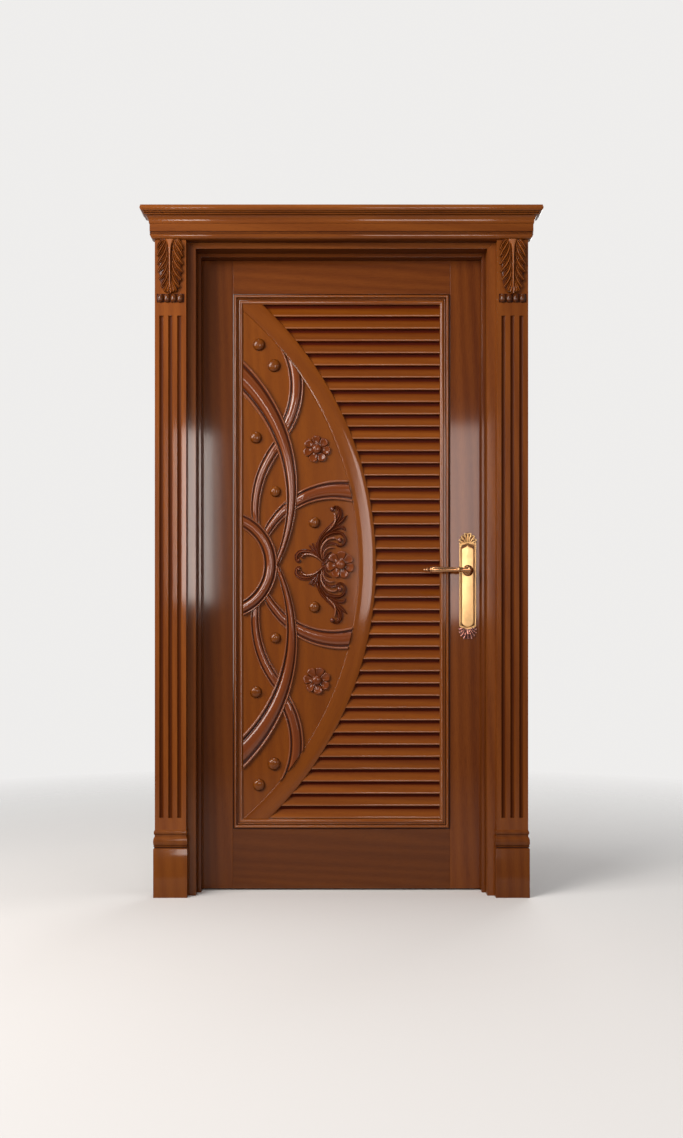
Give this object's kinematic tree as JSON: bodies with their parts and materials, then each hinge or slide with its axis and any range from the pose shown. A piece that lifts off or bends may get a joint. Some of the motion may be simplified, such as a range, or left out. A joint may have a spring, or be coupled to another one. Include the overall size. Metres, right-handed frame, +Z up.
{
  "type": "carved door with frame",
  "caption": "Varnished single-leaf door with a carved half moon, slatted panel, fluted casing, cornice, lever handles and a sprung latch.",
  "frame": {"origin": "on the floor, in the middle of the doorway's width, at the middle of the lining's depth", "axes": "+Z up, +X to the right seen from the carved and cased side, +Y away from that viewer, the way the leaf opens"},
  "size_m": [1.252, 0.257, 2.157],
  "materials": {
    "lining_wood": "gloss varnish",
    "casing_wood": "gloss varnish",
    "casing_carving": "gloss varnish",
    "leaf_wood": "gloss varnish",
    "panel_wood": "gloss varnish",
    "carving_wood": "gloss varnish",
    "plate_brass": "polished",
    "lever_brass": "antique",
    "lock_brass": "satin",
    "steel": "satin"
  },
  "bodies": {
    "frame": {"hinge_jamb": "lining_wood", "lock_jamb": "lining_wood", "head_jamb": "lining_wood", "hinge_stop": "lining_wood", "lock_stop": "lining_wood", "head_stop": "lining_wood", "left_pilaster": "casing_wood", "right_pilaster": "casing_wood", "left_plinth_block": "casing_wood", "right_plinth_block": "casing_wood", "cornice_core": "casing_wood", "bed_front": "casing_wood", "bed_left_return": "casing_wood", "bed_right_return": "casing_wood", "crown_front": "casing_wood", "crown_left_return": "casing_wood", "crown_right_return": "casing_wood", "cornice_cap": "casing_wood", "acanthus_leaves": "casing_carving", "corbel_beads": "casing_carving", "strike_plate": "lock_brass", "hinge_jamb_plates": "steel"},
    "leaf": {"hinge_stile": "leaf_wood", "lock_stile": "leaf_wood", "top_rail": "leaf_wood", "bottom_rail": "leaf_wood", "backing_panel": "panel_wood", "half_moon_board": "panel_wood", "slats": "panel_wood", "front_moulding_left": "carving_wood", "front_moulding_bottom": "carving_wood", "front_moulding_right": "carving_wood", "front_moulding_top": "carving_wood", "rear_moulding_left": "carving_wood", "rear_moulding_bottom": "carving_wood", "rear_moulding_right": "carving_wood", "rear_moulding_top": "carving_wood", "curved_rail": "carving_wood", "carved_bands": "carving_wood", "buttons": "carving_wood", "flowers": "carving_wood", "leaf_scrolls": "carving_wood", "front_plate": "plate_brass", "rear_plate": "plate_brass", "lock_case": "steel", "lock_face_plate": "lock_brass", "hinge_door_plates": "steel"},
    "handle": {"spindle": "steel", "front_lever": "lever_brass", "rear_lever": "lever_brass"},
    "latch": {"latch_bolt": "lock_brass"}
  },
  "joints": [
    {"name": "door_swing", "type": "hinge", "parent": "frame", "child": "leaf", "pos_m": [-0.4585, 0.0695, 1.02], "axis": [0, 0, 1], "range_deg": [0, 110]},
    {"name": "handle_turn", "type": "hinge", "parent": "leaf", "child": "handle", "pos_m": [0.407, 0.0405, 1.03], "axis": [0, -1, 0], "range_deg": [0, 40], "stiffness_Nm_per_rad": 0.8, "springref_deg": -57.3},
    {"name": "latch_slide", "type": "slide", "parent": "leaf", "child": "latch", "axis": [-1, 0, 0], "range_m": [0, 0.012]}
  ],
  "couplings": [
    {"joint": "latch_slide", "follows": "handle_turn", "m_per_rad": 0.0165}
  ]
}
